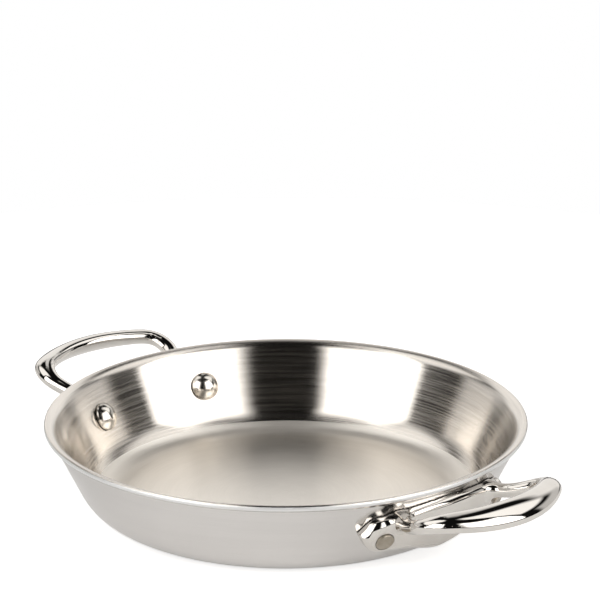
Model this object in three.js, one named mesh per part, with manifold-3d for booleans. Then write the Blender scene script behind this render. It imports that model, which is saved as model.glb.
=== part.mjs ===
// Low round pan of clad steel sheet with two cast loop handles, each held by two rivets.
// Millimetres, +Z up. The origin is the centre of the base's underside, and the handles
// lie along +X and -X.

import * as THREE from 'three';
import { mergeVertices } from 'three/addons/utils/BufferGeometryUtils.js';
import Module from 'manifold-3d';

const { degToRad } = THREE.MathUtils;

// Pan body
const rimRadius = 103;
const panHeight = 38.4;
const cornerRadius = 19.7;
const wallLean = degToRad(26);
const lipBend = 3;
const lipLand = 0.5;
const lipRise = degToRad(3);

// Bonded plies of the sheet, from the cooking side to the stove side
const innerPly = 0.5;
const corePly = 1.6;
const outerPly = 0.5;

// Rivets
const rivetDrop = 16.2;
const shankRadius = 4;
const headRadius = 6.2;
const headHeight = 4.2;
const headRim = 0.7;
const tailProud = 0.4;
const tailBevel = 0.3;

// Handle bracket, which hugs the wall under the lip
const bracketDrop = 6.2;
const bracketThickness = 6.4;
const bracketEdge = 5;
const faceTilt = degToRad(20);
const faceRadius = 36;
const lugSpan = 31.8;
const lugRadius = 8.2;
const lugRise = 2.6;
const roofRise = 4.4;
const neckSpan = 17;
const neckDrop = 0.7;
const tongueClear = 5.9;
const tongueTip = 6;
const tongueRound = 1.2;

// Handle loop
const gripReach = 34;
const gripRadius = 50;
const gripDrop = 2.7;
const gripWidth = 12.6;
const gripHeight = 7.4;
const gripTilt = degToRad(30);
const legWidth = 6.4;
const legHeight = 5.8;
const legSplay = degToRad(22);
const legSpan = 27;
const legSink = 3;
const legDrop = 11.5;
const loopCorner = 12;

// Clearances and fineness
const fitGap = 0.3;
const holeGap = 0.2;
const bodySegments = 48;
const bracketSegments = 96;
const rivetSegments = 24;
const cornerSteps = 5;
const lipSteps = 3;
const faceSteps = 6;
const outlineSteps = 10;
const edgeSteps = 4;
const loopSteps = 36;
const loopSides = 16;
const sectionPower = 0.95;
const weldDistance = 1e-4;

const steel = { color: 0xcfcbc6, metalness: 1 };
const innerSteel = new THREE.MeshStandardMaterial({ ...steel, roughness: 0.35 });
const outerSteel = new THREE.MeshStandardMaterial({ ...steel, roughness: 0.2 });
const coreMetal = new THREE.MeshStandardMaterial({ color: 0xb9bcbf, metalness: 1, roughness: 0.5 });
const castSteel = new THREE.MeshStandardMaterial({ ...steel, roughness: 0.06 });
const rivetSteel = new THREE.MeshStandardMaterial({ color: 0xc4bcae, metalness: 1, roughness: 0.3 });

const wasm = await Module();
wasm.setup();

// A closed geometry as a solid that can be joined and cut
function solidOf(geometry) {
  const bare = geometry.clone();
  bare.deleteAttribute('normal');
  bare.deleteAttribute('uv');
  const merged = mergeVertices(bare, weldDistance);
  const corners = merged.index.array;
  const triangles = [];
  for (let i = 0; i < corners.length; i += 3) {
    const [a, b, c] = corners.slice(i, i + 3);
    if (a !== b && b !== c && c !== a) {
      triangles.push(a, b, c);
    }
  }
  return new wasm.Manifold(new wasm.Mesh({
    numProp: 3,
    vertProperties: Float32Array.from(merged.attributes.position.array),
    triVerts: Uint32Array.from(triangles),
  }));
}

function geometryOf(solid) {
  const { vertProperties, triVerts } = solid.getMesh();
  const geometry = new THREE.BufferGeometry();
  geometry.setAttribute('position', new THREE.BufferAttribute(vertProperties, 3));
  geometry.setIndex(new THREE.BufferAttribute(triVerts, 1));
  geometry.computeVertexNormals();
  return geometry;
}

// A profile of (radius, height) points turned about Z
function turned(points, segments) {
  const geometry = new THREE.LatheGeometry(points, segments);
  geometry.rotateX(Math.PI / 2);
  return geometry;
}

// The direction square to a surface of revolution that leans by an angle: 0 faces straight
// out and a right angle faces straight down
function facing(lean) {
  return new THREE.Vector2(Math.cos(lean), -Math.sin(lean));
}

function arc(centre, radius, from, to, steps) {
  const points = [];
  for (let i = 0; i <= steps; i += 1) {
    const lean = THREE.MathUtils.lerp(from, to, i / steps);
    points.push(centre.clone().addScaledVector(facing(lean), radius));
  }
  return points;
}

// Sheet geometry: the outer surface is a flat base, a corner arc, a straight leaning wall and
// an outward bend into the lip
const sheet = innerPly + corePly + outerPly;
const straightDown = Math.PI / 2;
const lipLean = straightDown - lipRise;
const wallOut = facing(wallLean);
const lipCentre = new THREE.Vector2(
  rimRadius - lipLand + lipBend * Math.sin(lipRise),
  panHeight - (lipBend + sheet) * Math.cos(lipRise)
    - (lipLand + sheet * Math.sin(lipRise)) * Math.tan(lipRise),
);
const wallTop = lipCentre.clone().addScaledVector(wallOut, -lipBend);
const wallFootHeight = cornerRadius * (1 - Math.sin(wallLean));
const wallFootRadius = wallTop.x - (wallTop.y - wallFootHeight) * Math.tan(wallLean);
const baseRadius = wallFootRadius - cornerRadius * Math.cos(wallLean);
const cornerCentre = new THREE.Vector2(baseRadius, cornerRadius);

// The outer surface moved into the sheet by a depth, from the axis to the lip's edge
function sheetCurve(depth) {
  const corner = arc(cornerCentre, cornerRadius - depth, straightDown, wallLean, cornerSteps);
  const lip = arc(lipCentre, -(lipBend + depth), wallLean, lipLean, lipSteps);
  const bendEnd = lip[lip.length - 1];
  const edgeHeight = bendEnd.y + (rimRadius - bendEnd.x) * Math.tan(lipRise);
  const edge = new THREE.Vector2(rimRadius, edgeHeight);
  return [new THREE.Vector2(0, depth), ...corner, ...lip, edge];
}

// The wall's radius at a height, for a surface at a depth in the sheet
function wallRadius(height, depth) {
  const alongWall = (wallTop.y - height) * Math.tan(wallLean);
  return wallTop.x - alongWall - depth / Math.cos(wallLean);
}

// Rivet frame: +Z runs out through the wall, square to it, from the wall's inner face
const rivetHeight = panHeight - rivetDrop;
const rivetRadius = wallRadius(rivetHeight, sheet);
const faceDistance = sheet + fitGap + bracketThickness;
const tailDistance = faceDistance + tailProud;

// Each rivet comes out lugSpan to one side of the handle's middle
const rivetBearing = Math.asin(lugSpan / (rivetRadius + faceDistance * wallOut.x));

function rivetFrame(bearing) {
  const across = new THREE.Vector3(Math.cos(bearing), Math.sin(bearing), 0);
  const out = across.clone().multiplyScalar(wallOut.x).setZ(wallOut.y);
  const turn = new THREE.Quaternion().setFromUnitVectors(new THREE.Vector3(0, 0, 1), out);
  const place = across.multiplyScalar(rivetRadius).setZ(rivetHeight);
  return new THREE.Matrix4().compose(place, turn, new THREE.Vector3(1, 1, 1));
}

function rivetHole(bearing) {
  const reach = 2 * tailDistance;
  const hole = new THREE.CylinderGeometry(
    shankRadius + holeGap,
    shankRadius + holeGap,
    2 * reach,
    rivetSegments,
  );
  hole.rotateX(Math.PI / 2);
  hole.applyMatrix4(rivetFrame(bearing));
  return solidOf(hole);
}

// Domed head on the cooking side, plain shank, and a flat tail with a small bevel. The head's
// rim clears the hollow curve of the wall.
function rivetGeometry() {
  const seat = fitGap + headRadius ** 2 / (2 * rivetRadius);
  const domeHeight = headHeight - headRim;
  const domeRadius = (headRadius ** 2 + domeHeight ** 2) / (2 * domeHeight);
  const domeCentre = new THREE.Vector2(0, domeRadius - headHeight - seat);
  const domeEdge = Math.acos(headRadius / domeRadius);
  const dome = arc(domeCentre, domeRadius, straightDown, domeEdge, edgeSteps);
  dome[0].x = 0;
  const shank = [
    new THREE.Vector2(headRadius, -seat),
    new THREE.Vector2(shankRadius, -seat),
    new THREE.Vector2(shankRadius, tailDistance - tailBevel),
    new THREE.Vector2(shankRadius - tailBevel, tailDistance),
    new THREE.Vector2(0, tailDistance),
  ];
  return turned([...dome, ...shank], rivetSegments);
}

const rightBearings = { front: -rivetBearing, back: rivetBearing };
const allBearings = {
  right_front: rightBearings.front,
  right_back: rightBearings.back,
  left_front: Math.PI + rivetBearing,
  left_back: Math.PI - rivetBearing,
};

// One ply: the sheet between two depths, with the rivet holes through it
function plyGeometry(outerDepth, innerDepth) {
  const outside = sheetCurve(outerDepth);
  const inside = sheetCurve(innerDepth).reverse();
  let ply = solidOf(turned([...outside, ...inside], bodySegments));
  for (const bearing of Object.values(allBearings)) {
    ply = ply.subtract(rivetHole(bearing));
  }
  return geometryOf(ply);
}

// Bracket: a ring that follows the wall, with a rounded upper edge and a face that curls in
// under the pan, trimmed to the bracket's front outline
const bracketTop = panHeight - bracketDrop;

function bracketRing() {
  const seatDepth = -fitGap;
  const facePoint = new THREE.Vector2(rivetRadius, rivetHeight).addScaledVector(wallOut, faceDistance);
  const faceCentre = facePoint.clone().addScaledVector(facing(faceTilt), -faceRadius);
  const below = tongueClear - bracketEdge;
  const bottomLean = Math.asin((faceCentre.y - below) / faceRadius);
  const edgeLean = Math.asin((faceCentre.y - bracketTop + bracketEdge) / (faceRadius - bracketEdge));
  const edgeCentre = faceCentre.clone().addScaledVector(facing(edgeLean), faceRadius - bracketEdge);
  const edgeAway = edgeCentre.clone().sub(wallTop).dot(wallOut);
  const edgeEnd = wallLean - Math.acos((fitGap - edgeAway) / bracketEdge);
  const edge = arc(edgeCentre, bracketEdge, edgeLean, edgeEnd, edgeSteps);
  const face = arc(faceCentre, faceRadius, bottomLean, edgeLean, faceSteps);
  const seatLean = Math.asin((cornerCentre.y - below) / (cornerRadius - seatDepth));
  const seatCorner = arc(cornerCentre, cornerRadius - seatDepth, wallLean, seatLean, cornerSteps);
  const ring = [...face, ...edge.slice(1), ...seatCorner];
  return solidOf(turned([...ring, ring[0]], bracketSegments));
}

// Two round lugs under a low roof, which falls from the bracket's middle to meet them, and a
// short tongue below
function bracketOutline() {
  const lugHeight = rivetHeight + faceDistance * wallOut.y + lugRise;
  const lugBottom = lugHeight - lugRadius;
  const roofHeight = bracketTop + roofRise;
  const roofLength = Math.hypot(lugSpan, roofHeight - lugHeight);
  const touch = Math.atan2(roofHeight - lugHeight, lugSpan) + Math.acos(lugRadius / roofLength);
  const neckHeight = lugBottom - neckDrop;
  const tipHeight = tongueClear + tongueRound;
  const outline = new THREE.Shape();
  outline.moveTo(0, roofHeight);
  outline.lineTo(lugRadius * Math.cos(touch) - lugSpan, lugHeight + lugRadius * Math.sin(touch));
  outline.absarc(-lugSpan, lugHeight, lugRadius, touch, 1.5 * Math.PI, false);
  outline.lineTo(-neckSpan, neckHeight);
  outline.lineTo(-tongueTip, tipHeight);
  outline.quadraticCurveTo(0, tongueClear - tongueRound, tongueTip, tipHeight);
  outline.lineTo(neckSpan, neckHeight);
  outline.lineTo(lugSpan, lugBottom);
  outline.absarc(lugSpan, lugHeight, lugRadius, -Math.PI / 2, Math.PI - touch, false);
  return outline;
}

function bracketSolid() {
  const depth = rimRadius + gripReach;
  const extrusion = { depth, bevelEnabled: false, curveSegments: outlineSteps };
  const block = new THREE.ExtrudeGeometry(bracketOutline(), extrusion);
  const across = new THREE.Vector3(0, 1, 0);
  const up = new THREE.Vector3(0, 0, 1);
  const out = new THREE.Vector3(1, 0, 0);
  block.applyMatrix4(new THREE.Matrix4().makeBasis(across, up, out));
  return bracketRing().intersect(solidOf(block));
}

// Loop: in plan its middle line is a straight splayed leg, a corner arc and the long arc of
// the grip, mirrored
function loopPlan() {
  const gripCentre = new THREE.Vector2(rimRadius + gripReach - gripRadius, 0);
  const along = new THREE.Vector2(Math.cos(legSplay), Math.sin(legSplay));
  const inward = new THREE.Vector2(along.y, -along.x);
  const faceRadiusAtLeg = wallRadius(panHeight - legDrop, -fitGap - bracketThickness);
  const foot = new THREE.Vector2(Math.sqrt(faceRadiusAtLeg ** 2 - legSpan ** 2), legSpan);
  const root = foot.clone().addScaledVector(along, -legSink);
  // The corner's centre lies loopCorner inside the leg's line and inside the grip's arc
  const offset = root.clone().addScaledVector(inward, loopCorner).sub(gripCentre);
  const ahead = offset.dot(along);
  const reach = Math.sqrt(ahead ** 2 - offset.lengthSq() + (gripRadius - loopCorner) ** 2) - ahead;
  const corner = offset.addScaledVector(along, reach).add(gripCentre);
  const legEnd = corner.clone().addScaledVector(inward, -loopCorner);
  const cornerStart = Math.atan2(-inward.y, -inward.x);
  const cornerEnd = Math.atan2(corner.y - gripCentre.y, corner.x - gripCentre.x);
  const plan = new THREE.Path();
  plan.moveTo(root.x, root.y);
  plan.lineTo(legEnd.x, legEnd.y);
  plan.absarc(corner.x, corner.y, loopCorner, cornerStart, cornerEnd, true);
  plan.absarc(gripCentre.x, gripCentre.y, gripRadius, cornerEnd, -cornerEnd, true);
  plan.absarc(corner.x, -corner.y, loopCorner, -cornerEnd, -cornerStart, true);
  plan.lineTo(root.x, -root.y);
  return { plan, foot, corner };
}

// One closed ring of points round the loop's middle line
function loopSection(centre, side, up, width, height) {
  const ring = [];
  for (let i = 0; i < loopSides; i += 1) {
    const angle = (i / loopSides) * 2 * Math.PI;
    const across = Math.sign(Math.cos(angle)) * Math.abs(Math.cos(angle)) ** sectionPower;
    const rise = Math.sign(Math.sin(angle)) * Math.abs(Math.sin(angle)) ** sectionPower;
    const point = centre.clone().addScaledVector(side, (across * width) / 2);
    ring.push(point.addScaledVector(up, (rise * height) / 2));
  }
  return ring;
}

function loopSolid() {
  const { plan, foot, corner } = loopPlan();
  const middle = plan.getSpacedPoints(loopSteps).map((point) => {
    const climb = THREE.MathUtils.smoothstep(point.x, foot.x, corner.x + loopCorner);
    const drop = THREE.MathUtils.lerp(legDrop, gripDrop, climb);
    return new THREE.Vector3(point.x, point.y, panHeight - drop);
  });
  const curve = new THREE.CatmullRomCurve3(middle);
  const vertical = new THREE.Vector3(0, 0, 1);
  const rings = middle.map((centre, i) => {
    const along = curve.getTangent(i / loopSteps);
    const grip = Math.max(0, (centre.x - foot.x) / (rimRadius + gripReach - foot.x)) ** 2;
    const side = new THREE.Vector3().crossVectors(along, vertical).normalize();
    side.applyAxisAngle(along, -gripTilt * grip);
    const up = new THREE.Vector3().crossVectors(side, along).normalize();
    const width = THREE.MathUtils.lerp(legWidth, gripWidth, grip);
    const height = THREE.MathUtils.lerp(legHeight, gripHeight, grip);
    return loopSection(centre, side, up, width, height);
  });
  return solidOf(loft(rings));
}

// A closed skin over a row of rings, with a fan over each end
function loft(rings) {
  const count = rings[0].length;
  const last = rings.length - 1;
  const middleOf = (ring) => ring.reduce((sum, point) => sum.add(point), new THREE.Vector3())
    .divideScalar(count);
  const points = [...rings.flat(), middleOf(rings[0]), middleOf(rings[last])];
  const startMiddle = rings.length * count;
  const triangles = [];
  for (let i = 0; i < count; i += 1) {
    const next = (i + 1) % count;
    for (let ring = 0; ring < last; ring += 1) {
      const here = ring * count;
      const there = here + count;
      triangles.push(here + i, there + next, here + next);
      triangles.push(here + i, there + i, there + next);
    }
    triangles.push(startMiddle, i, next);
    triangles.push(startMiddle + 1, last * count + next, last * count + i);
  }
  const geometry = new THREE.BufferGeometry().setFromPoints(points);
  geometry.setIndex(triangles);
  return geometry;
}

function handleGeometry() {
  let handle = bracketSolid().add(loopSolid());
  for (const bearing of Object.values(rightBearings)) {
    handle = handle.subtract(rivetHole(bearing));
  }
  return geometryOf(handle);
}

function named(name, geometry, material) {
  const mesh = new THREE.Mesh(geometry, material);
  mesh.name = name;
  return mesh;
}

const pan = new THREE.Group();

pan.add(named('outer_steel_ply', plyGeometry(0, outerPly), outerSteel));
pan.add(named('aluminium_core', plyGeometry(outerPly, outerPly + corePly), coreMetal));
pan.add(named('inner_steel_ply', plyGeometry(outerPly + corePly, sheet), innerSteel));

const handle = handleGeometry();
for (const [name, bearing] of [['handle_right', 0], ['handle_left', Math.PI]]) {
  const mesh = named(name, handle, castSteel);
  mesh.rotation.z = bearing;
  pan.add(mesh);
}

const rivet = rivetGeometry();
for (const [place, bearing] of Object.entries(allBearings)) {
  const mesh = named(`rivet_${place}`, rivet, rivetSteel);
  rivetFrame(bearing).decompose(mesh.position, mesh.quaternion, mesh.scale);
  pan.add(mesh);
}

export default pan;
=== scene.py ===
"""Looks of the two-handled pan: fine meshes for its plies, cast handles and rivets, procedural
metals, a white table and soft studio light. Sizes are in millimetres until a mesh is made."""

import itertools
import math

import bpy
import numpy as np
from mathutils import Matrix, Vector


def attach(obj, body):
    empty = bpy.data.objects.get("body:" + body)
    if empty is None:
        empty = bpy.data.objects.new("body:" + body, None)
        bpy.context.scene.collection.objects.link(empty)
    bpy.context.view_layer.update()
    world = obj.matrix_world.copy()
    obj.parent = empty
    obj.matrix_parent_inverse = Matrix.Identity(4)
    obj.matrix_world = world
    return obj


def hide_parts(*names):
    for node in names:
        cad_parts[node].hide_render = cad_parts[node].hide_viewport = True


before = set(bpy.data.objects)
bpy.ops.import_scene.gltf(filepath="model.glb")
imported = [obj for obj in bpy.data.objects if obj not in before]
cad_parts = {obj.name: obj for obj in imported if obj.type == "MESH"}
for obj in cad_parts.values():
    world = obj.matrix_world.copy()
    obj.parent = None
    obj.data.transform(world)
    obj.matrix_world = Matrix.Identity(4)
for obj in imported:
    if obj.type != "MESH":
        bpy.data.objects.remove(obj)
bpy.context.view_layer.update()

MM = 0.001

# Pan body
RIM_RADIUS = 103
PAN_HEIGHT = 38.4
CORNER_RADIUS = 19.7
WALL_LEAN = math.radians(26)
LIP_BEND = 3
LIP_LAND = 0.5
LIP_RISE = math.radians(3)
EDGE_ROUND = 1.45

# Bonded plies of the sheet, from the cooking side to the stove side
INNER_PLY = 0.5
CORE_PLY = 1.6
OUTER_PLY = 0.5

# Rivets
RIVET_DROP = 16.2
SHANK_RADIUS = 4
HEAD_RADIUS = 6.2
HEAD_HEIGHT = 4.2
HEAD_RIM = 0.7
TAIL_PROUD = 0.4
TAIL_BEVEL = 0.3

# Handle bracket
BRACKET_DROP = 6.2
BRACKET_THICKNESS = 6.4
BRACKET_EDGE = 5
FACE_TILT = math.radians(20)
FACE_RADIUS = 36
LOW_ROUND = 2
HIGH_ROUND = 5
ROUND_FROM = 16
ROUND_TO = 24
LUG_SPAN = 31.8
LUG_RADIUS = 8.2
LUG_RISE = 2.6
ROOF_RISE = 4.4
NECK_SPAN = 17
NECK_DROP = 0.7
TONGUE_CLEAR = 5.9
TONGUE_TIP = 6
TONGUE_ROUND = 1.2
NECK_BLEND = 5
TONGUE_BLEND = 4
ROOT_BLEND = 4.5

# Handle loop
GRIP_REACH = 34
GRIP_RADIUS = 50
GRIP_DROP = 2.7
GRIP_WIDTH = 12.6
GRIP_HEIGHT = 7.4
GRIP_TILT = math.radians(30)
LEG_WIDTH = 6.4
LEG_HEIGHT = 5.8
LEG_SPLAY = math.radians(22)
LEG_SPAN = 27
LEG_SINK = 3
LEG_DROP = 11.5
LOOP_CORNER = 12
SECTION_POWER = 2.1

# Lean of the inner corner at which the satin floor gives way to the brushed wall
FLOOR_EDGE = math.radians(50)

# Clearances
FIT_GAP = 0.3
HOLE_GAP = 0.2

# Fineness of the turned pieces
BODY_SEGMENTS = 256
BASE_STEPS = 14
CORNER_STEPS = 18
WALL_STEPS = 8
LIP_STEPS = 12
EDGE_POINTS = 9
RIVET_SEGMENTS = 96
DOME_STEPS = 24
RIM_STEPS = 3
SHANK_STEPS = 4
TAIL_STEPS = 8
SHARP_ANGLE = math.radians(35)

# Fineness of the handles, and the spare room round them in the grid that meshes them
HANDLE_STEP = 0.5
LEG_STEPS = 40
BEND_POINTS = 25
GRIP_POINTS = 90
ROOM_BELOW = np.array([9, 3, 2])
ROOM_ABOVE = np.array([9, 3, 4])
SLOPE_STEP = 0.02
SETTLE_ROUNDS = 4
SMOOTH_ROUNDS = 6
BATCH = 100000

# The satin plate fades out over these distances from the bracket's face, outline and loop
SATIN_LEVEL = (0.02, 0.2)
SATIN_INSET = (1.4, 2.6)
SATIN_CLEAR = (1.5, 3.5)

# A corner is shaded by the field's slope where that lies this close to its face's normal, as a cosine
NORMAL_AGREES = 0.85

# Finishes: tints, least and greatest roughness, lines or grains in a metre, and strength of relief
POLISHED_STEEL = {
    "pale": (0.73, 0.71, 0.69),
    "dark": (0.70, 0.68, 0.66),
    "rough": (0.14, 0.18),
    "lines": 2500.0,
    "stretch": 0.3,
    "depth": 0.04,
}
SATIN_WALL = {
    "pale": (0.78, 0.74, 0.69),
    "dark": (0.65, 0.61, 0.56),
    "rough": (0.15, 0.23),
    "lines": 1700.0,
    "stretch": 1.0,
    "depth": 0.08,
}
SATIN_FLOOR = {
    "pale": (0.92, 0.88, 0.82),
    "dark": (0.87, 0.83, 0.77),
    "rough": (0.34, 0.4),
    "lines": 2400.0,
    "stretch": 0.0,
    "depth": 0.1,
}
CUT_ALUMINIUM = {
    "pale": (0.88, 0.88, 0.87),
    "dark": (0.74, 0.74, 0.74),
    "rough": (0.42, 0.55),
    "lines": 9000.0,
    "depth": 0.2,
}
POLISHED_CASTING = {
    "pale": (0.76, 0.73, 0.69),
    "dark": (0.70, 0.67, 0.63),
    "polish": (0.03, 0.06),
    "frost": (0.3, 0.42),
    "grains": 2600.0,
    "depth": 0.25,
}
RIVET_POLISH = {
    "pale": (0.72, 0.69, 0.64),
    "dark": (0.64, 0.60, 0.55),
    "rough": (0.15, 0.21),
    "grains": 900.0,
    "depth": 0.1,
}
# Rivet tails outside the wall: a real ground finish in roughness and grain, with a dark brown tint
# that is painted shade
RIVET_GROUND_SHADE = {
    "pale": (0.46, 0.41, 0.35),
    "dark": (0.36, 0.32, 0.26),
    "rough": (0.3, 0.45),
    "grains": 1500.0,
    "depth": 0.5,
}

# Full height of the relief in brushed, cast and plain metal
BRUSH_RELIEF = 0.02
CAST_RELIEF = 0.04
GRAIN_RELIEF = 0.03

# Brushed lines: how often the fine and broad ones change on their way round, the fine ones to a
# broad one, and the share that each has in the tint
FINE_RUN = 2.5
BROAD_RUN = 2.0
CORE_RUN = 20.0
FINE_TO_BROAD = 12
FINE_SHARE = 0.5
BROAD_SHARE = 0.3
CLOUD_SHARE = 0.2

# Clouds in a metre of sheet, casting and rivet
SHEET_CLOUDS = 18.0
CAST_CLOUDS = 60.0
RIVET_CLOUDS = 220.0

# Ranges that most values of one noise, and of several mixed, fall in
NOISE_RANGE = (0.3, 0.7)
MIXED_RANGE = (0.35, 0.65)

# Camera, set by the photograph: it looks at the middle of the rim, then turns a little
CAMERA_AZIMUTH = math.radians(47.8)
CAMERA_ELEVATION = math.radians(20.313)
CAMERA_DISTANCE = 1492.7
CAMERA_PITCH = math.radians(-1.913)
CAMERA_YAW = math.radians(0.25)
CAMERA_ROLL = math.radians(-0.083)
CAMERA_LENS = 210
CAMERA_SENSOR = 36

# Table, and its extra brightness as the camera and as the metal see it
TABLE_RADIUS = 450
TABLE_SEGMENTS = 128
TABLE_SINK = 0.02
TABLE_PALE = (0.84, 0.84, 0.84)
TABLE_DARK = (0.80, 0.80, 0.80)
TABLE_GLOW = 0.6
TABLE_MIRRORED = 0.12

# Soft boxes of the studio: bearing from the camera's side and height in degrees, each as a
# window (from, its soft edge, to, its soft edge), then the brightness
PANELS = (
    ((26, 8, 82.5, 1.5), (2, 3, 54, 4), 2.8),
    ((-76.5, 1.5, -23, 6), (2, 3, 54, 4), 2.8),
    ((89, 2, 136, 6), (33, 3, 78, 5), 1.3),
    ((-136, 6, -83, 2), (33, 3, 78, 5), 1.3),
    ((104, 5, 138, 6), (-8, 4, 24, 4), 0.65),
    ((-138, 6, -104, 5), (-8, 4, 24, 4), 0.65),
    ((140, 8, 220, 8), (2, 4, 38, 5), 1.05),
    ((168, 5, 192, 5), (38, 5, 60, 10), 0.8),
)
PANEL_TINT = (1, 0.985, 0.965, 1)
ROOM_LIGHT = 0.006

DOWN = math.pi / 2


def facing(lean):
    """Direction square to a surface that leans: 0 faces out and a right angle faces down."""
    return np.stack([np.cos(lean), -np.sin(lean)], -1)


def arc(centre, radius, start, stop, steps):
    return np.asarray(centre) + radius * facing(np.linspace(start, stop, steps + 1))


def line(start, stop, steps):
    return np.linspace(start, stop, steps + 1)


def smoothstep(value, low, high):
    share = np.clip((value - low) / (high - low), 0, 1)
    return share * share * (3 - 2 * share)


# The sheet's outer surface: flat base, corner arc, straight leaning wall and lip
SHEET = INNER_PLY + CORE_PLY + OUTER_PLY
LIP_LEAN = DOWN - LIP_RISE
WALL_OUT = facing(WALL_LEAN)
LIP_CENTRE = np.array([
    RIM_RADIUS - LIP_LAND + LIP_BEND * math.sin(LIP_RISE),
    PAN_HEIGHT
    - (LIP_BEND + SHEET) * math.cos(LIP_RISE)
    - (LIP_LAND + SHEET * math.sin(LIP_RISE)) * math.tan(LIP_RISE),
])
WALL_TOP = LIP_CENTRE - LIP_BEND * WALL_OUT
WALL_FOOT_HEIGHT = CORNER_RADIUS * (1 - math.sin(WALL_LEAN))
WALL_FOOT_RADIUS = WALL_TOP[0] - (WALL_TOP[1] - WALL_FOOT_HEIGHT) * math.tan(WALL_LEAN)
BASE_RADIUS = WALL_FOOT_RADIUS - CORNER_RADIUS * math.cos(WALL_LEAN)
CORNER_CENTRE = np.array([BASE_RADIUS, CORNER_RADIUS])


def wall_radius(height, depth):
    along = (WALL_TOP[1] - height) * math.tan(WALL_LEAN)
    return WALL_TOP[0] - along - depth / math.cos(WALL_LEAN)


RIVET_HEIGHT = PAN_HEIGHT - RIVET_DROP
RIVET_RADIUS = wall_radius(RIVET_HEIGHT, SHEET)
FACE_DISTANCE = SHEET + FIT_GAP + BRACKET_THICKNESS
TAIL_DISTANCE = FACE_DISTANCE + TAIL_PROUD
RIVET_BEARING = math.asin(LUG_SPAN / (RIVET_RADIUS + FACE_DISTANCE * WALL_OUT[0]))
BRACKET_TOP = PAN_HEIGHT - BRACKET_DROP
ROOF_HEIGHT = BRACKET_TOP + ROOF_RISE
LUG_HEIGHT = RIVET_HEIGHT + FACE_DISTANCE * WALL_OUT[1] + LUG_RISE
BEARINGS = {
    "right_front": -RIVET_BEARING,
    "right_back": RIVET_BEARING,
    "left_front": math.pi + RIVET_BEARING,
    "left_back": math.pi - RIVET_BEARING,
}


def edge_point(depth):
    """The lip's rounded edge at a depth in the sheet."""
    lip_end = LIP_CENTRE - (LIP_BEND + depth) * facing(LIP_LEAN)
    inset = EDGE_ROUND - math.sqrt(EDGE_ROUND**2 - (depth - SHEET / 2) ** 2)
    radius = RIM_RADIUS - inset
    return np.array([radius, lip_end[1] + (radius - lip_end[0]) * math.tan(LIP_RISE)])


def sheet_curve(depth):
    """The outer surface moved into the sheet by a depth, from the axis to the lip's edge."""
    base = line((0, depth), (BASE_RADIUS, depth), BASE_STEPS)[:-1]
    corner = arc(CORNER_CENTRE, CORNER_RADIUS - depth, DOWN, WALL_LEAN, CORNER_STEPS)
    lip = arc(LIP_CENTRE, -(LIP_BEND + depth), WALL_LEAN, LIP_LEAN, LIP_STEPS)
    wall = line(corner[-1], lip[0], WALL_STEPS)[1:-1]
    return np.concatenate([base, corner, wall, lip[:-1]])


def ply_profile(outer, inner):
    """Section of the sheet between two depths, joined along the lip's rounded edge."""
    edge = np.array([edge_point(depth) for depth in np.linspace(outer, inner, EDGE_POINTS)])
    return np.concatenate([sheet_curve(outer), edge, sheet_curve(inner)[::-1]])


def mesh_object(name, points, faces):
    """A new object from points in millimetres."""
    mesh = bpy.data.meshes.new(name)
    mesh.from_pydata(np.asarray(points) * MM, [], [list(map(int, face)) for face in faces])
    mesh.validate()
    mesh.update()
    thing = bpy.data.objects.new(name, mesh)
    bpy.context.scene.collection.objects.link(thing)
    return thing


def lathe(name, profile, segments):
    """A profile of (radius, height) points that starts and ends on the axis, turned about Z."""
    ring = profile[1:-1]
    angles = np.linspace(0, 2 * math.pi, segments, endpoint=False)
    x = np.outer(np.cos(angles), ring[:, 0])
    y = np.outer(np.sin(angles), ring[:, 0])
    z = np.broadcast_to(ring[:, 1], x.shape)
    points = np.stack([x, y, z], -1).reshape(-1, 3)
    ends = np.array([[0, 0, profile[0][1]], [0, 0, profile[-1][1]]])
    count = len(ring)
    first = len(points)
    faces = []
    for here in range(segments):
        near = here * count
        far = (here + 1) % segments * count
        faces.append((first, far, near))
        faces.append((first + 1, near + count - 1, far + count - 1))
        for step in range(count - 1):
            faces.append((near + step, far + step, far + step + 1, near + step + 1))
    return mesh_object(name, np.concatenate([points, ends]), faces)


def rivet_frame(bearing):
    """+Z runs out through the wall, square to it, from the wall's inner face."""
    across = Vector((math.cos(bearing), math.sin(bearing), 0))
    out = Vector((across.x * WALL_OUT[0], across.y * WALL_OUT[0], WALL_OUT[1]))
    place = Vector((across.x * RIVET_RADIUS, across.y * RIVET_RADIUS, RIVET_HEIGHT)) * MM
    return Matrix.Translation(place) @ out.to_track_quat("Z", "Y").to_matrix().to_4x4()


def cut_holes(thing, bearings):
    """Cuts the rivet holes, with clearance, through a piece."""
    reach = 2 * TAIL_DISTANCE
    radius = SHANK_RADIUS + HOLE_GAP
    profile = np.array([(0, -reach), (radius, -reach), (radius, reach), (0, reach)])
    for bearing in bearings:
        cutter = lathe("cutter", profile, RIVET_SEGMENTS)
        cutter.data.transform(rivet_frame(bearing))
        cut = thing.modifiers.new("hole", "BOOLEAN")
        cut.operation = "DIFFERENCE"
        cut.solver = "EXACT"
        cut.object = cutter
        graph = bpy.context.evaluated_depsgraph_get()
        result = bpy.data.meshes.new_from_object(thing.evaluated_get(graph))
        thing.modifiers.clear()
        old = thing.data
        result.name = old.name
        thing.data = result
        bpy.data.meshes.remove(old)
        bpy.data.meshes.remove(cutter.data)


def smooth(thing):
    """Smooth shading, with edges kept sharp where two faces meet at a clear angle."""
    mesh = thing.data
    mesh.shade_smooth()
    mesh.set_sharp_from_angle(angle=SHARP_ANGLE)


def finish_piece(thing, node, slot, *materials):
    thing.data.materials.clear()
    for material in materials:
        thing.data.materials.append(material)
    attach(thing, "root")
    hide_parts(node)


# Handle: a field that is negative inside the metal, meshed finely


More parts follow.
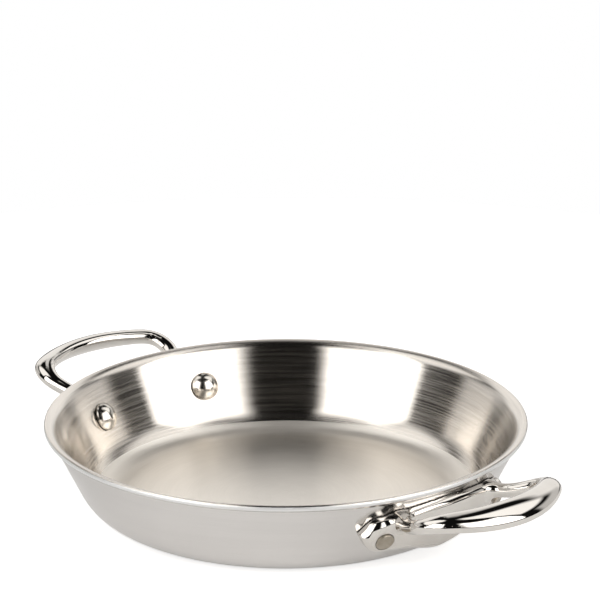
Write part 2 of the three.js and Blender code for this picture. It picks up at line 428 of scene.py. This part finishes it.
def blended(a, b, reach):
    """The lower of two fields, with a fillet where they meet."""
    near = np.maximum(reach - np.abs(a - b), 0) / reach
    return np.minimum(a, b) - near * near * reach / 4


def rounded_meet(a, b, radius):
    """The overlap of two fields, with a round of that radius along their edge."""
    u = np.maximum(a + radius, 0)
    v = np.maximum(b + radius, 0)
    return np.minimum(np.maximum(a, b), -radius) + np.hypot(u, v)


FACE_POINT = np.array([RIVET_RADIUS, RIVET_HEIGHT]) + FACE_DISTANCE * WALL_OUT
FACE_CENTRE = FACE_POINT - FACE_RADIUS * facing(FACE_TILT)


def wall_distance(radius, height):
    """Distance outwards from the pan's outer wall and corner."""
    along = (radius - WALL_TOP[0]) * WALL_OUT[0] + (height - WALL_TOP[1]) * WALL_OUT[1]
    across, rise = radius - CORNER_CENTRE[0], height - CORNER_CENTRE[1]
    below = np.arctan2(-rise, across) > WALL_LEAN
    return np.where(below, np.hypot(across, rise) - CORNER_RADIUS, along)


def outline_distance(y, height):
    """The bracket's front outline: two round lugs under a low roof, and a short tongue."""
    side = np.abs(y)
    lift = ROOF_HEIGHT - LUG_HEIGHT
    slope = math.atan2(lift, LUG_SPAN) + math.acos(LUG_RADIUS / math.hypot(LUG_SPAN, lift)) - DOWN
    ridge = ROOF_HEIGHT - LUG_RADIUS / math.cos(slope)
    above = side * math.sin(slope) + (height - ridge) * math.cos(slope)
    along = side * math.cos(slope) - (height - ridge) * math.sin(slope)
    past = along - np.clip(along, 0, LUG_SPAN / math.cos(slope))
    to_roof = np.hypot(above, past)
    to_floor = np.hypot(np.maximum(side - LUG_SPAN, 0), height - LUG_HEIGHT)
    within = (above < 0) & (height > LUG_HEIGHT)
    bar = np.minimum(to_roof, to_floor) * np.where(within, -1, 1) - LUG_RADIUS
    tip_height = TONGUE_CLEAR + TONGUE_ROUND
    neck_height = LUG_HEIGHT - LUG_RADIUS - NECK_DROP
    edge = np.array([NECK_SPAN - TONGUE_TIP, neck_height - tip_height])
    edge = edge / np.linalg.norm(edge)
    flank = (side - TONGUE_TIP) * edge[1] - (height - tip_height) * edge[0]
    tongue = -blended(-flank, height - TONGUE_CLEAR, TONGUE_BLEND)
    tongue = np.maximum(tongue, height - LUG_HEIGHT)
    return blended(bar, tongue, NECK_BLEND)


def face_distance(points):
    radius = np.hypot(points[..., 0], points[..., 1])
    return np.hypot(radius - FACE_CENTRE[0], points[..., 2] - FACE_CENTRE[1]) - FACE_RADIUS


def front_place(points):
    """Where a point stands in the bracket's front view, seen square to the wall."""
    radius = np.hypot(points[..., 0], points[..., 1])
    return points[..., 1] * FACE_POINT[0] / radius, points[..., 2]


def bracket_field(points):
    height = points[..., 2]
    shell = rounded_meet(face_distance(points), height - BRACKET_TOP, BRACKET_EDGE)
    edge_round = LOW_ROUND + (HIGH_ROUND - LOW_ROUND) * smoothstep(height, ROUND_FROM, ROUND_TO)
    return rounded_meet(shell, outline_distance(*front_place(points)), edge_round)


def loop_line():
    """The loop's middle line with the section's axes and half sizes along it."""
    centre = np.array([RIM_RADIUS + GRIP_REACH - GRIP_RADIUS, 0])
    along = np.array([math.cos(LEG_SPLAY), math.sin(LEG_SPLAY)])
    inward = np.array([along[1], -along[0]])
    seat = wall_radius(PAN_HEIGHT - LEG_DROP, -FIT_GAP - BRACKET_THICKNESS)
    foot = np.array([math.sqrt(seat**2 - LEG_SPAN**2), LEG_SPAN])
    root = foot - LEG_SINK * along
    offset = root + LOOP_CORNER * inward - centre
    ahead = offset @ along
    reach = math.sqrt(ahead**2 - offset @ offset + (GRIP_RADIUS - LOOP_CORNER) ** 2) - ahead
    corner = offset + reach * along + centre
    start = math.atan2(-inward[1], -inward[0])
    stop = math.atan2(corner[1], corner[0] - centre[0])
    leg = line(root, corner - LOOP_CORNER * inward, LEG_STEPS)
    bend = corner + LOOP_CORNER * facing(-np.linspace(start, stop, BEND_POINTS))[1:]
    grip = centre + GRIP_RADIUS * facing(-np.linspace(stop, 0, GRIP_POINTS))[1:]
    half = np.concatenate([leg, bend, grip])
    plan = np.concatenate([half, half[-2::-1] * (1, -1)])
    climb = smoothstep(plan[:, 0], foot[0], corner[0] + LOOP_CORNER)
    height = PAN_HEIGHT - LEG_DROP + (LEG_DROP - GRIP_DROP) * climb
    middle = np.column_stack([plan, height])
    tangent = np.gradient(middle, axis=0)
    tangent /= np.linalg.norm(tangent, axis=1, keepdims=True)
    share = np.maximum((plan[:, 0] - foot[0]) / (RIM_RADIUS + GRIP_REACH - foot[0]), 0) ** 2
    level = np.cross(tangent, (0, 0, 1))
    level /= np.linalg.norm(level, axis=1, keepdims=True)
    rise = np.cross(level, tangent)
    tilt = (GRIP_TILT * share)[:, None]
    side = level * np.cos(tilt) + rise * np.sin(tilt)
    up = rise * np.cos(tilt) - level * np.sin(tilt)
    wide = (LEG_WIDTH + (GRIP_WIDTH - LEG_WIDTH) * share) / 2
    high = (LEG_HEIGHT + (GRIP_HEIGHT - LEG_HEIGHT) * share) / 2
    return np.column_stack([middle, side, up, wide, high])


LOOP = loop_line()


def loop_field(points):
    """Distance from the loop's skin, near enough for its fillets."""
    flat = points.reshape(-1, 3)
    middle = LOOP[:, :3]
    nearest = np.empty(len(flat), int)
    for start in range(0, len(flat), BATCH):
        part = slice(start, start + BATCH)
        apart = (middle**2).sum(1) - 2 * flat[part] @ middle.T
        nearest[part] = apart.argmin(1)
    here = np.clip(nearest, 1, len(middle) - 2)
    span = middle[here + 1] - middle[here - 1]
    step = ((flat - middle[here]) * span).sum(1) / (span**2).sum(1) * 2
    place = np.clip(here + step, 0, len(middle) - 1.001)
    low = place.astype(int)
    share = (place - low)[:, None]
    values = LOOP[low] * (1 - share) + LOOP[low + 1] * share
    away = flat - values[:, :3]
    u = np.abs((away * values[:, 3:6]).sum(1)) / values[:, 9]
    v = np.abs((away * values[:, 6:9]).sum(1)) / values[:, 10]
    size = np.maximum((u**SECTION_POWER + v**SECTION_POWER) ** (1 / SECTION_POWER), 0.05)
    slope = np.hypot(
        (u / size) ** (SECTION_POWER - 1) / values[:, 9],
        (v / size) ** (SECTION_POWER - 1) / values[:, 10],
    )
    around = (size - 1) / np.maximum(slope, 0.1)
    past = np.linalg.norm(away, axis=1) - np.maximum(values[:, 9], values[:, 10])
    return np.maximum(around, past).reshape(points.shape[:-1])


def handle_field(points):
    metal = blended(bracket_field(points), loop_field(points), ROOT_BLEND)
    radius = np.hypot(points[..., 0], points[..., 1])
    return np.maximum(metal, FIT_GAP - wall_distance(radius, points[..., 2]))


def gradient(field, points):
    """Direction in which a field rises, from differences."""
    slopes = []
    for axis in np.eye(3) * SLOPE_STEP:
        slopes.append((field(points + axis) - field(points - axis)) / (2 * SLOPE_STEP))
    return np.stack(slopes, -1)


def settle(field, points):
    """Moves points onto the field's zero surface."""
    slope = gradient(field, points)
    steep = np.maximum((slope**2).sum(1), 0.1)
    return points - (field(points) / steep)[:, None] * slope


def skin(field, low, high, step):
    """Points and quads of a field's zero surface: one point for each grid cell that it crosses."""
    axes = [np.arange(a, b + step, step) for a, b in zip(low, high)]
    grid = np.stack(np.meshgrid(*axes, indexing="ij"), -1)
    inside = field(grid) < 0
    cells = tuple(size - 1 for size in inside.shape)
    count = np.zeros(cells, int)
    for i, j, k in itertools.product((0, 1), repeat=3):
        count += inside[i:i + cells[0], j:j + cells[1], k:k + cells[2]]
    crossed = (count > 0) & (count < 8)
    index = np.full(cells, -1)
    index[crossed] = np.arange(crossed.sum())
    points = grid[:-1, :-1, :-1][crossed] + step / 2
    quads = []
    for axis in range(3):
        one, two = (axis + 1) % 3, (axis + 2) % 3
        ahead = np.moveaxis(inside, (axis, one, two), (0, 1, 2))
        number = np.moveaxis(index, (axis, one, two), (0, 1, 2))
        left, right = ahead[:-1, 1:-1, 1:-1], ahead[1:, 1:-1, 1:-1]
        around = np.stack(
            [number[:, :-1, :-1], number[:, 1:, :-1], number[:, 1:, 1:], number[:, :-1, 1:]], -1
        )
        quads.append(around[left & ~right])
        quads.append(around[~left & right][:, ::-1])
    quads = np.concatenate(quads)
    for _ in range(SETTLE_ROUNDS):
        points = settle(field, points)
    for _ in range(SMOOTH_ROUNDS):
        total = np.zeros_like(points)
        degree = np.zeros(len(points))
        for a, b in ((0, 1), (1, 2), (2, 3), (3, 0)):
            np.add.at(total, quads[:, a], points[quads[:, b]])
            np.add.at(degree, quads[:, a], 1)
        points = (points + total / degree[:, None]) / 2
        points = settle(field, points)
    return settle(field, points), quads


def satin_share(points):
    """One on the bracket's flat front plate, fading to zero towards its edges and the loop."""
    level = np.abs(face_distance(points))
    inset = -outline_distance(*front_place(points))
    share = (1 - smoothstep(level, *SATIN_LEVEL)) * smoothstep(inset, *SATIN_INSET)
    return share * smoothstep(loop_field(points), *SATIN_CLEAR)


def corner_normals(mesh, slope):
    """The field's slope at each face corner, or the face's own normal inside the rivet holes."""
    corner = np.empty(len(mesh.loops), int)
    mesh.loops.foreach_get("vertex_index", corner)
    flat = np.empty(3 * len(mesh.polygons))
    mesh.polygons.foreach_get("normal", flat)
    counts = np.empty(len(mesh.polygons), int)
    mesh.polygons.foreach_get("loop_total", counts)
    flat = np.repeat(flat.reshape(-1, 3), counts, axis=0)
    agrees = (flat * slope[corner]).sum(1) > NORMAL_AGREES
    return np.where(agrees[:, None], slope[corner], flat)


def handle_mesh(name):
    """The right handle's casting, with its rivet holes."""
    side = LUG_SPAN + LUG_RADIUS
    low = np.array([RIVET_RADIUS, -side, TONGUE_CLEAR]) - ROOM_BELOW
    high = np.array([RIM_RADIUS + GRIP_REACH, side, PAN_HEIGHT]) + ROOM_ABOVE
    handle = mesh_object(name, *skin(handle_field, low, high, HANDLE_STEP))
    cut_holes(handle, (BEARINGS["right_front"], BEARINGS["right_back"]))
    mesh = handle.data
    points = np.empty(3 * len(mesh.vertices))
    mesh.vertices.foreach_get("co", points)
    points = points.reshape(-1, 3) / MM
    slope = gradient(handle_field, points)
    slope /= np.maximum(np.linalg.norm(slope, axis=1, keepdims=True), 1e-6)
    satin = mesh.attributes.new("satin", "FLOAT", "POINT")
    satin.data.foreach_set("value", satin_share(points).astype(np.float32))
    smooth(handle)
    mesh.normals_split_custom_set(corner_normals(mesh, slope))
    return handle


def rivet_mesh(name):
    """Domed head on the cooking side, plain shank, and a flat tail with a small bevel."""
    seat = FIT_GAP + HEAD_RADIUS**2 / (2 * RIVET_RADIUS)
    dome_height = HEAD_HEIGHT - HEAD_RIM
    dome_radius = (HEAD_RADIUS**2 + dome_height**2) / (2 * dome_height)
    dome_centre = (0, dome_radius - HEAD_HEIGHT - seat)
    dome = arc(dome_centre, dome_radius, DOWN, math.acos(HEAD_RADIUS / dome_radius), DOME_STEPS)
    dome[0][0] = 0
    rim = line(dome[-1], (HEAD_RADIUS, -seat), RIM_STEPS)[1:]
    bevel = TAIL_DISTANCE - TAIL_BEVEL
    shank = line((SHANK_RADIUS, -seat), (SHANK_RADIUS, bevel), SHANK_STEPS)
    tail = line((SHANK_RADIUS - TAIL_BEVEL, TAIL_DISTANCE), (0, TAIL_DISTANCE), TAIL_STEPS)
    return lathe(name, np.concatenate([dome, rim, shank, tail]), RIVET_SEGMENTS)


# Shader nodes


class Graph:
    """Writes a node tree from short calls."""

    def __init__(self, tree):
        self.tree = tree
        tree.nodes.clear()

    def node(self, kind, **settings):
        made = self.tree.nodes.new(kind)
        for name, value in settings.items():
            setattr(made, name, value)
        return made

    def feed(self, socket, value):
        if isinstance(value, bpy.types.NodeSocket):
            self.tree.links.new(value, socket)
        else:
            socket.default_value = value

    def math(self, operation, *values):
        made = self.node("ShaderNodeMath", operation=operation)
        for socket, value in zip(made.inputs, values):
            self.feed(socket, value)
        return made.outputs[0]

    def dot(self, vector, direction):
        made = self.node("ShaderNodeVectorMath", operation="DOT_PRODUCT")
        self.feed(made.inputs[0], vector)
        self.feed(made.inputs[1], direction)
        return made.outputs["Value"]

    def ramp(self, value, low, high, start=0.0, stop=1.0):
        """Goes smoothly from start to stop as value goes from low to high."""
        made = self.node("ShaderNodeMapRange", interpolation_type="SMOOTHSTEP")
        for socket, number in zip(made.inputs, (value, low, high, start, stop)):
            self.feed(socket, number)
        return made.outputs[0]

    def colours(self, share, first, second):
        made = self.node("ShaderNodeMix", data_type="RGBA")
        self.feed(made.inputs["Factor"], share)
        self.feed(made.inputs[6], (*first, 1))
        self.feed(made.inputs[7], (*second, 1))
        return made.outputs[2]

    def join(self, x, y, z):
        made = self.node("ShaderNodeCombineXYZ")
        for socket, value in zip(made.inputs, (x, y, z)):
            self.feed(socket, value)
        return made.outputs[0]

    def noise(self, vector, scale, detail=2.0):
        made = self.node("ShaderNodeTexNoise")
        self.feed(made.inputs["Vector"], vector)
        self.feed(made.inputs["Scale"], scale)
        self.feed(made.inputs["Detail"], detail)
        return made.outputs[0]

    def bump(self, height, strength, distance):
        made = self.node("ShaderNodeBump")
        self.feed(made.inputs["Strength"], strength)
        self.feed(made.inputs["Distance"], distance)
        self.feed(made.inputs["Height"], height)
        return made.outputs[0]

    def place(self):
        return self.node("ShaderNodeTexCoord").outputs["Object"]


def new_metal(name):
    material = bpy.data.materials.new(name)
    material.use_nodes = True
    graph = Graph(material.node_tree)
    shader = graph.node("ShaderNodeBsdfPrincipled")
    output = graph.node("ShaderNodeOutputMaterial")
    graph.tree.links.new(shader.outputs[0], output.inputs["Surface"])
    shader.inputs["Metallic"].default_value = 1
    return material, graph, shader


def turned_lines(graph, across, along):
    """Noise drawn out into fine lines round the pan's axis."""
    parts = graph.node("ShaderNodeSeparateXYZ")
    graph.feed(parts.inputs[0], graph.place())
    x, y, z = parts.outputs
    square = graph.math("ADD", graph.math("POWER", x, 2.0), graph.math("POWER", y, 2.0))
    radius = graph.math("SQRT", square)
    safe = graph.math("MAXIMUM", radius, 0.001)
    profile = graph.math("MULTIPLY", graph.math("ADD", radius, z), across)
    east = graph.math("MULTIPLY", graph.math("DIVIDE", x, safe), along)
    north = graph.math("MULTIPLY", graph.math("DIVIDE", y, safe), along)
    return graph.noise(graph.join(east, north, profile), 1.0, 3.0)


def brushed_metal(name, pale, dark, rough, lines, stretch, depth):
    """Sheet metal with a finish of fine lines round the axis."""
    material, graph, shader = new_metal(name)
    fine = turned_lines(graph, lines, FINE_RUN)
    broad = turned_lines(graph, lines / FINE_TO_BROAD, BROAD_RUN)
    cloud = graph.noise(graph.place(), SHEET_CLOUDS, 3.0)
    tone = 0.0
    for pattern, share in ((fine, FINE_SHARE), (broad, BROAD_SHARE), (cloud, CLOUD_SHARE)):
        tone = graph.math("ADD", tone, graph.math("MULTIPLY", pattern, share))
    graph.feed(shader.inputs["Base Color"], graph.colours(graph.ramp(tone, *MIXED_RANGE), dark, pale))
    graph.feed(shader.inputs["Roughness"], graph.ramp(fine, *NOISE_RANGE, *rough))
    graph.feed(shader.inputs["Normal"], graph.bump(fine, depth, BRUSH_RELIEF * MM))
    tangent = graph.node("ShaderNodeTangent", direction_type="RADIAL", axis="Z")
    graph.feed(shader.inputs["Tangent"], tangent.outputs[0])
    shader.inputs["Anisotropic"].default_value = stretch
    shader.inputs["Anisotropic Rotation"].default_value = 0.25
    return material


def cast_metal(name, pale, dark, polish, frost, grains, depth):
    """Mirror-polished casting with a satin front plate."""
    material, graph, shader = new_metal(name)
    satin = graph.node("ShaderNodeAttribute", attribute_name="satin").outputs["Fac"]
    cloud = graph.noise(graph.place(), CAST_CLOUDS, 3.0)
    grain = graph.noise(graph.place(), grains, 2.0)
    mixed = graph.node("ShaderNodeMix", data_type="FLOAT")
    graph.feed(mixed.inputs["Factor"], satin)
    graph.feed(mixed.inputs[2], graph.ramp(cloud, *NOISE_RANGE, *polish))
    graph.feed(mixed.inputs[3], graph.ramp(grain, *NOISE_RANGE, *frost))
    graph.feed(shader.inputs["Roughness"], mixed.outputs[0])
    graph.feed(shader.inputs["Base Color"], graph.colours(graph.ramp(cloud, *NOISE_RANGE), dark, pale))
    relief = graph.math("MULTIPLY", satin, depth)
    graph.feed(shader.inputs["Normal"], graph.bump(grain, relief, CAST_RELIEF * MM))
    return material


def rivet_metal(name, pale, dark, rough, grains, depth):
    """Plain steel with a fine grain."""
    material, graph, shader = new_metal(name)
    cloud = graph.noise(graph.place(), RIVET_CLOUDS, 3.0)
    grain = graph.noise(graph.place(), grains, 2.0)
    graph.feed(shader.inputs["Base Color"], graph.colours(graph.ramp(cloud, *NOISE_RANGE), dark, pale))
    graph.feed(shader.inputs["Roughness"], graph.ramp(grain, *NOISE_RANGE, *rough))
    graph.feed(shader.inputs["Normal"], graph.bump(grain, depth, GRAIN_RELIEF * MM))
    return material


def core_metal(name, pale, dark, rough, lines, depth):
    """The cut edge of the core, with fine turning marks."""
    material, graph, shader = new_metal(name)
    fine = turned_lines(graph, lines, CORE_RUN)
    graph.feed(shader.inputs["Base Color"], graph.colours(fine, dark, pale))
    graph.feed(shader.inputs["Roughness"], graph.ramp(fine, *NOISE_RANGE, *rough))
    graph.feed(shader.inputs["Normal"], graph.bump(fine, depth, GRAIN_RELIEF * MM))
    return material


# Camera


def turned_about_z(vector, angle):
    return Matrix.Rotation(angle, 3, "Z") @ Vector(vector)


def add_camera():
    data = bpy.data.cameras.new("camera")
    data.lens = CAMERA_LENS
    data.sensor_width = CAMERA_SENSOR
    data.clip_start = 0.01
    camera = bpy.data.objects.new("camera", data)
    bpy.context.scene.collection.objects.link(camera)
    bpy.context.scene.camera = camera
    back = (0, -math.cos(CAMERA_ELEVATION), math.sin(CAMERA_ELEVATION))
    pitch = CAMERA_ELEVATION + CAMERA_PITCH
    ahead = Vector((
        math.sin(CAMERA_YAW) * math.cos(pitch),
        math.cos(CAMERA_YAW) * math.cos(pitch),
        -math.sin(pitch),
    ))
    right = ahead.cross((0, 0, 1)).normalized()
    up = right.cross(ahead)
    rolled = right * math.cos(CAMERA_ROLL) + up * math.sin(CAMERA_ROLL)
    upright = up * math.cos(CAMERA_ROLL) - right * math.sin(CAMERA_ROLL)
    axes = [turned_about_z(axis, CAMERA_AZIMUTH) for axis in (rolled, upright, -ahead)]
    place = turned_about_z(back, CAMERA_AZIMUTH) * CAMERA_DISTANCE * MM
    place.z += PAN_HEIGHT * MM
    camera.matrix_world = Matrix.Translation(place) @ Matrix(axes).transposed().to_4x4()


# Table and light


def add_table():
    angles = np.linspace(0, 2 * math.pi, TABLE_SEGMENTS, endpoint=False)
    edge = TABLE_RADIUS * np.column_stack([np.cos(angles), np.sin(angles), 0 * angles])
    floor = mesh_object("table", edge, [range(TABLE_SEGMENTS)])
    floor.location.z = -TABLE_SINK * MM
    material = bpy.data.materials.new("table_white")
    material.use_nodes = True
    graph = Graph(material.node_tree)
    output = graph.node("ShaderNodeOutputMaterial")
    paint = graph.node("ShaderNodeBsdfDiffuse")
    grain = graph.noise(graph.place(), 40.0, 2.0)
    graph.feed(paint.inputs["Color"], graph.colours(grain, TABLE_DARK, TABLE_PALE))
    glow = graph.node("ShaderNodeEmission")
    rays = graph.node("ShaderNodeLightPath")
    seen = graph.math("MULTIPLY", rays.outputs["Is Camera Ray"], TABLE_GLOW)
    mirrored = graph.math("MULTIPLY", rays.outputs["Is Glossy Ray"], TABLE_MIRRORED)
    graph.feed(glow.inputs["Strength"], graph.math("ADD", seen, mirrored))
    both = graph.node("ShaderNodeAddShader")
    graph.tree.links.new(paint.outputs[0], both.inputs[0])
    graph.tree.links.new(glow.outputs[0], both.inputs[1])
    graph.tree.links.new(both.outputs[0], output.inputs["Surface"])
    floor.data.materials.append(material)


def window(graph, value, span):
    """One between two angles, zero outside, with soft edges."""
    low, low_edge, high, high_edge = span
    rise = graph.ramp(value, low - low_edge, low + low_edge)
    fall = graph.ramp(value, high - high_edge, high + high_edge, 1.0, 0.0)
    return graph.math("MULTIPLY", rise, fall)


def add_world():
    """Soft boxes for the metal to mirror, and plain white for the camera."""
    world = bpy.data.worlds.new("studio")
    bpy.context.scene.world = world
    world.use_nodes = True
    graph = Graph(world.node_tree)
    output = graph.node("ShaderNodeOutputWorld")
    towards = graph.node("ShaderNodeTexCoord").outputs["Generated"]
    right = turned_about_z((1, 0, 0), CAMERA_AZIMUTH)
    front = turned_about_z((0, -1, 0), CAMERA_AZIMUTH)
    turn = graph.math("ARCTAN2", graph.dot(towards, right), graph.dot(towards, front))
    bearing = graph.math("DEGREES", turn)
    around = graph.math("FLOORED_MODULO", bearing, 360.0)
    height = graph.math("DEGREES", graph.math("ARCSINE", graph.dot(towards, (0, 0, 1))))
    light = ROOM_LIGHT
    for sides, heights, strength in PANELS:
        turned = bearing if sides[0] < 0 else around
        shape = graph.math("MULTIPLY", window(graph, turned, sides), window(graph, height, heights))
        light = graph.math("ADD", light, graph.math("MULTIPLY", shape, strength))
    rays = graph.node("ShaderNodeLightPath")
    studio = graph.node("ShaderNodeBackground")
    graph.feed(studio.inputs["Color"], PANEL_TINT)
    graph.feed(studio.inputs["Strength"], light)
    white = graph.node("ShaderNodeBackground")
    choice = graph.node("ShaderNodeMixShader")
    graph.feed(choice.inputs[0], rays.outputs["Is Camera Ray"])
    graph.tree.links.new(studio.outputs[0], choice.inputs[1])
    graph.tree.links.new(white.outputs[0], choice.inputs[2])
    graph.feed(white.inputs["Color"], (1, 1, 1, 1))
    graph.tree.links.new(choice.outputs[0], output.inputs["Surface"])


# The pan


def add_body():
    depths = {
        "outer_steel_ply": (0, OUTER_PLY),
        "aluminium_core": (OUTER_PLY, OUTER_PLY + CORE_PLY),
        "inner_steel_ply": (OUTER_PLY + CORE_PLY, SHEET),
    }
    finishes = {
        "outer_steel_ply": ("outer_steel", [brushed_metal("polished_steel", **POLISHED_STEEL)]),
        "aluminium_core": ("core_aluminium", [core_metal("cut_aluminium", **CUT_ALUMINIUM)]),
        "inner_steel_ply": ("inner_steel", [
            brushed_metal("satin_wall", **SATIN_WALL),
            brushed_metal("satin_floor", **SATIN_FLOOR),
        ]),
    }
    floor_edge = CORNER_RADIUS - (CORNER_RADIUS - SHEET) * math.sin(FLOOR_EDGE)
    for node, (outer, inner) in depths.items():
        ply = lathe(f"{node}_skin", ply_profile(outer, inner), BODY_SEGMENTS)
        cut_holes(ply, BEARINGS.values())
        smooth(ply)
        slot, materials = finishes[node]
        finish_piece(ply, node, slot, *materials)
        if len(materials) > 1:
            for face in ply.data.polygons:
                face.material_index = int(face.center.z < floor_edge * MM)


def add_handles():
    material = cast_metal("polished_casting", **POLISHED_CASTING)
    right = handle_mesh("handle_right_casting")
    left = bpy.data.objects.new("handle_left_casting", right.data.copy())
    bpy.context.scene.collection.objects.link(left)
    left.data.transform(Matrix.Rotation(math.pi, 4, "Z"))
    for handle, node in ((right, "handle_right"), (left, "handle_left")):
        finish_piece(handle, node, "cast_steel", material)


def add_rivets():
    polished = rivet_metal("rivet_polish", **RIVET_POLISH)
    ground_shade = rivet_metal("rivet_ground_shade", **RIVET_GROUND_SHADE)
    for place, bearing in BEARINGS.items():
        rivet = rivet_mesh(f"rivet_{place}_turned")
        smooth(rivet)
        # Faces outside the sheet take the ground finish, whose dark brown tint paints shade on the
        # tails
        outside = [int(face.center.z > SHEET * MM) for face in rivet.data.polygons]
        rivet.data.transform(rivet_frame(bearing))
        finish_piece(rivet, f"rivet_{place}", "rivet_steel", polished, ground_shade)
        rivet.data.polygons.foreach_set("material_index", outside)


add_camera()
add_world()
add_table()
add_body()
add_handles()
add_rivets()
bpy.context.scene.view_settings.view_transform = "Standard"
